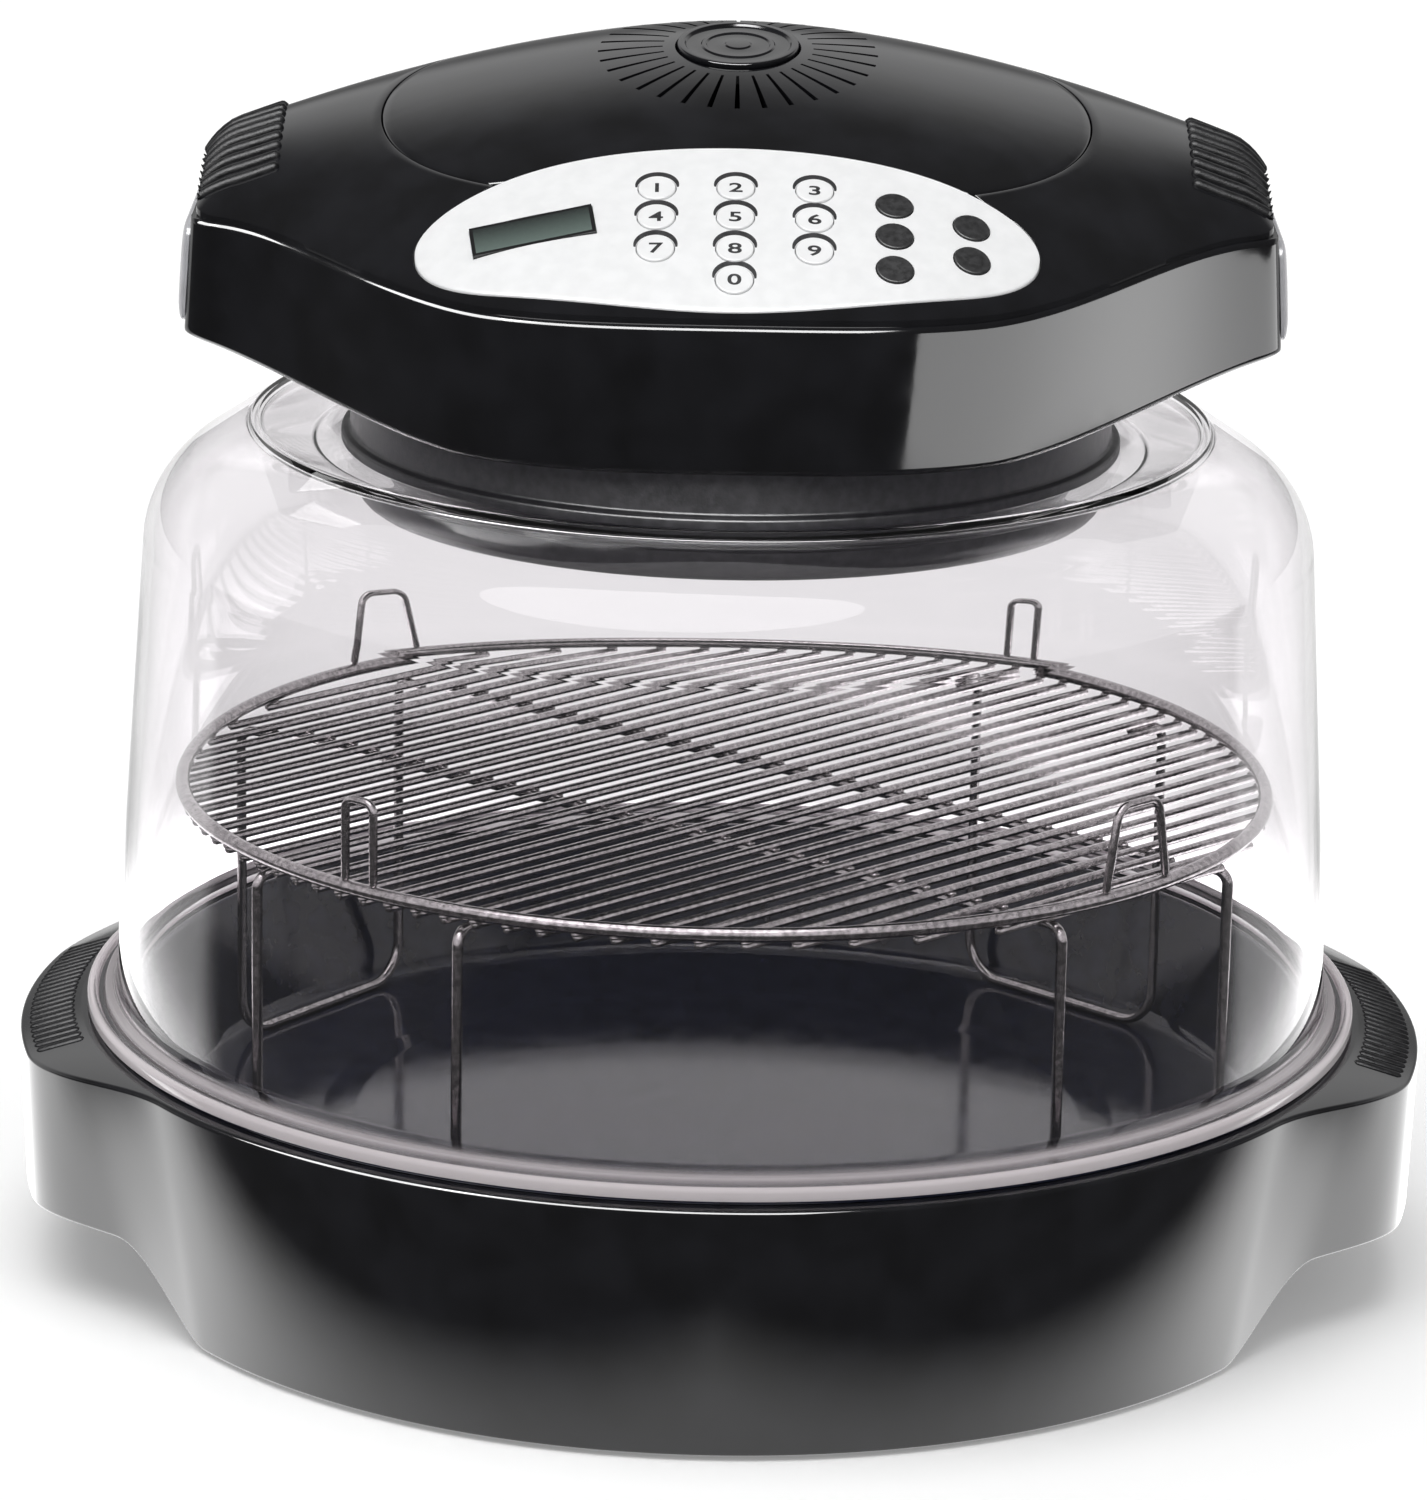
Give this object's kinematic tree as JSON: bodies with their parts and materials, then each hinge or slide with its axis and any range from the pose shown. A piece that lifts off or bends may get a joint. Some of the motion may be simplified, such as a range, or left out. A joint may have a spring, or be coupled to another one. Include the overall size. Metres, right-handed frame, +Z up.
{
  "type": "halogen oven",
  "caption": "Round countertop oven with a clear lift-off dome, a wire rack on a liner pan in a base tray, and a power head with a keypad.",
  "frame": {"origin": "on the table under the middle of the round base", "axes": "+X towards the right handle, -Y towards the control panel's front, +Z up"},
  "size_m": [0.403, 0.372, 0.3573],
  "materials": {
    "black_shell": "gloss",
    "end_cap": "gloss",
    "grip_rib": "satin gloss",
    "rubber": "matte",
    "inlet_rubber": "matte",
    "screw_steel": "zinc plated",
    "pan_coating": "gloss non-stick coating",
    "rack_chrome": "bright plated",
    "dome_clear": "clear moulded",
    "bowl_grey": "satin",
    "guard_steel": "satin",
    "dish_aluminium": "polished",
    "tube_quartz": "frosted",
    "block_ceramic": "matte",
    "bracket_steel": "satin",
    "motor_steel": "satin",
    "rotor_copper": "lacquered",
    "fan_steel": "satin",
    "cooler_plastic": "matte",
    "pad_wool": "felted",
    "board_green": "matte",
    "panel_white": "satin",
    "window_glass": "clear",
    "key_white": "satin",
    "key_black": "satin"
  },
  "bodies": {
    "base": {"base_shell": "black_shell", "base_feet": "rubber", "foot_screws": "screw_steel"},
    "pan": {"liner_pan": "pan_coating"},
    "rack": {"rack_rim": "rack_chrome", "rack_rods": "rack_chrome", "rack_crossbars": "rack_chrome", "rack_leg_1": "rack_chrome", "rack_leg_2": "rack_chrome", "rack_leg_3": "rack_chrome", "rack_leg_4": "rack_chrome", "rack_hook_1": "rack_chrome", "rack_hook_2": "rack_chrome", "rack_hook_3": "rack_chrome", "rack_hook_4": "rack_chrome"},
    "dome": {"dome": "dome_clear"},
    "head": {"heater_bowl": "bowl_grey", "reflector_dish": "dish_aluminium", "heater_tube": "tube_quartz", "heater_block": "block_ceramic", "heater_clips": "bracket_steel", "fan_guard": "guard_steel", "bowl_screws": "screw_steel", "motor_can": "motor_steel", "motor_bracket": "bracket_steel", "insulation_pad": "pad_wool", "lower_housing": "black_shell", "top_cover": "black_shell", "crown_cap": "black_shell", "vent_disc": "black_shell", "grip_pad_left": "grip_rib", "grip_pad_right": "grip_rib", "end_cap_left": "end_cap", "end_cap_right": "end_cap", "power_inlet": "inlet_rubber", "control_board": "board_green", "board_screws": "screw_steel", "panel_plate": "panel_white", "keypad_membrane": "rubber", "lcd_window": "window_glass", "lcd_module": "board_green"},
    "fan": {"circulation_fan": "fan_steel", "motor_shaft": "motor_steel", "motor_rotor": "rotor_copper", "cooling_fan": "cooler_plastic"},
    "key_0_cap": {"key_0": "key_white"},
    "key_1_cap": {"key_1": "key_white"},
    "key_2_cap": {"key_2": "key_white"},
    "key_3_cap": {"key_3": "key_white"},
    "key_4_cap": {"key_4": "key_white"},
    "key_5_cap": {"key_5": "key_white"},
    "key_6_cap": {"key_6": "key_white"},
    "key_7_cap": {"key_7": "key_white"},
    "key_8_cap": {"key_8": "key_white"},
    "key_9_cap": {"key_9": "key_white"},
    "function_key_1_cap": {"function_key_1": "key_black"},
    "function_key_2_cap": {"function_key_2": "key_black"},
    "function_key_3_cap": {"function_key_3": "key_black"},
    "function_key_4_cap": {"function_key_4": "key_black"},
    "function_key_5_cap": {"function_key_5": "key_black"}
  },
  "joints": [
    {"name": "pan_lift", "type": "slide", "parent": "base", "child": "pan", "axis": [0, 0, 1], "range_m": [0, 0.06]},
    {"name": "rack_lift", "type": "slide", "parent": "pan", "child": "rack", "axis": [0, 0, 1], "range_m": [0, 0.04]},
    {"name": "dome_lift", "type": "slide", "parent": "pan", "child": "dome", "axis": [0, 0, 1], "range_m": [0, 0.18]},
    {"name": "head_lift", "type": "slide", "parent": "dome", "child": "head", "axis": [0, 0, 1], "range_m": [0, 0.12]},
    {"name": "fan_spin", "type": "hinge", "parent": "head", "child": "fan", "pos_m": [0, 0, 0.28], "axis": [0, 0, 1], "continuous": true},
    {"name": "key_0_press", "type": "slide", "parent": "head", "child": "key_0_cap", "axis": [0, 0.5724, -0.82], "range_m": [0, 0.0004], "stiffness_N_per_m": 300, "springref_m": -0.0003},
    {"name": "key_1_press", "type": "slide", "parent": "head", "child": "key_1_cap", "axis": [0.0362, 0.4468, -0.8939], "range_m": [0, 0.0004], "stiffness_N_per_m": 300, "springref_m": -0.0003},
    {"name": "key_2_press", "type": "slide", "parent": "head", "child": "key_2_cap", "axis": [0, 0.4501, -0.893], "range_m": [0, 0.0004], "stiffness_N_per_m": 300, "springref_m": -0.0003},
    {"name": "key_3_press", "type": "slide", "parent": "head", "child": "key_3_cap", "axis": [-0.0362, 0.4468, -0.8939], "range_m": [0, 0.0004], "stiffness_N_per_m": 300, "springref_m": -0.0003},
    {"name": "key_4_press", "type": "slide", "parent": "head", "child": "key_4_cap", "axis": [0.0317, 0.4827, -0.8752], "range_m": [0, 0.0004], "stiffness_N_per_m": 300, "springref_m": -0.0003},
    {"name": "key_5_press", "type": "slide", "parent": "head", "child": "key_5_cap", "axis": [0, 0.4856, -0.8742], "range_m": [0, 0.0004], "stiffness_N_per_m": 300, "springref_m": -0.0003},
    {"name": "key_6_press", "type": "slide", "parent": "head", "child": "key_6_cap", "axis": [-0.0317, 0.4827, -0.8752], "range_m": [0, 0.0004], "stiffness_N_per_m": 300, "springref_m": -0.0003},
    {"name": "key_7_press", "type": "slide", "parent": "head", "child": "key_7_cap", "axis": [0.0274, 0.5233, -0.8517], "range_m": [0, 0.0004], "stiffness_N_per_m": 300, "springref_m": -0.0003},
    {"name": "key_8_press", "type": "slide", "parent": "head", "child": "key_8_cap", "axis": [0, 0.5257, -0.8507], "range_m": [0, 0.0004], "stiffness_N_per_m": 300, "springref_m": -0.0003},
    {"name": "key_9_press", "type": "slide", "parent": "head", "child": "key_9_cap", "axis": [-0.0274, 0.5233, -0.8517], "range_m": [0, 0.0004], "stiffness_N_per_m": 300, "springref_m": -0.0003},
    {"name": "function_key_1_press", "type": "slide", "parent": "head", "child": "function_key_1_cap", "axis": [-0.1079, 0.4497, -0.8866], "range_m": [0, 0.0004], "stiffness_N_per_m": 300, "springref_m": -0.0003},
    {"name": "function_key_2_press", "type": "slide", "parent": "head", "child": "function_key_2_cap", "axis": [-0.107, 0.4889, -0.8658], "range_m": [0, 0.0004], "stiffness_N_per_m": 300, "springref_m": -0.0003},
    {"name": "function_key_3_press", "type": "slide", "parent": "head", "child": "function_key_3_cap", "axis": [-0.1077, 0.536, -0.8373], "range_m": [0, 0.0004], "stiffness_N_per_m": 300, "springref_m": -0.0003},
    {"name": "function_key_4_press", "type": "slide", "parent": "head", "child": "function_key_4_cap", "axis": [-0.2266, 0.4622, -0.8574], "range_m": [0, 0.0004], "stiffness_N_per_m": 300, "springref_m": -0.0003},
    {"name": "function_key_5_press", "type": "slide", "parent": "head", "child": "function_key_5_cap", "axis": [-0.2435, 0.5063, -0.8273], "range_m": [0, 0.0004], "stiffness_N_per_m": 300, "springref_m": -0.0003}
  ]
}
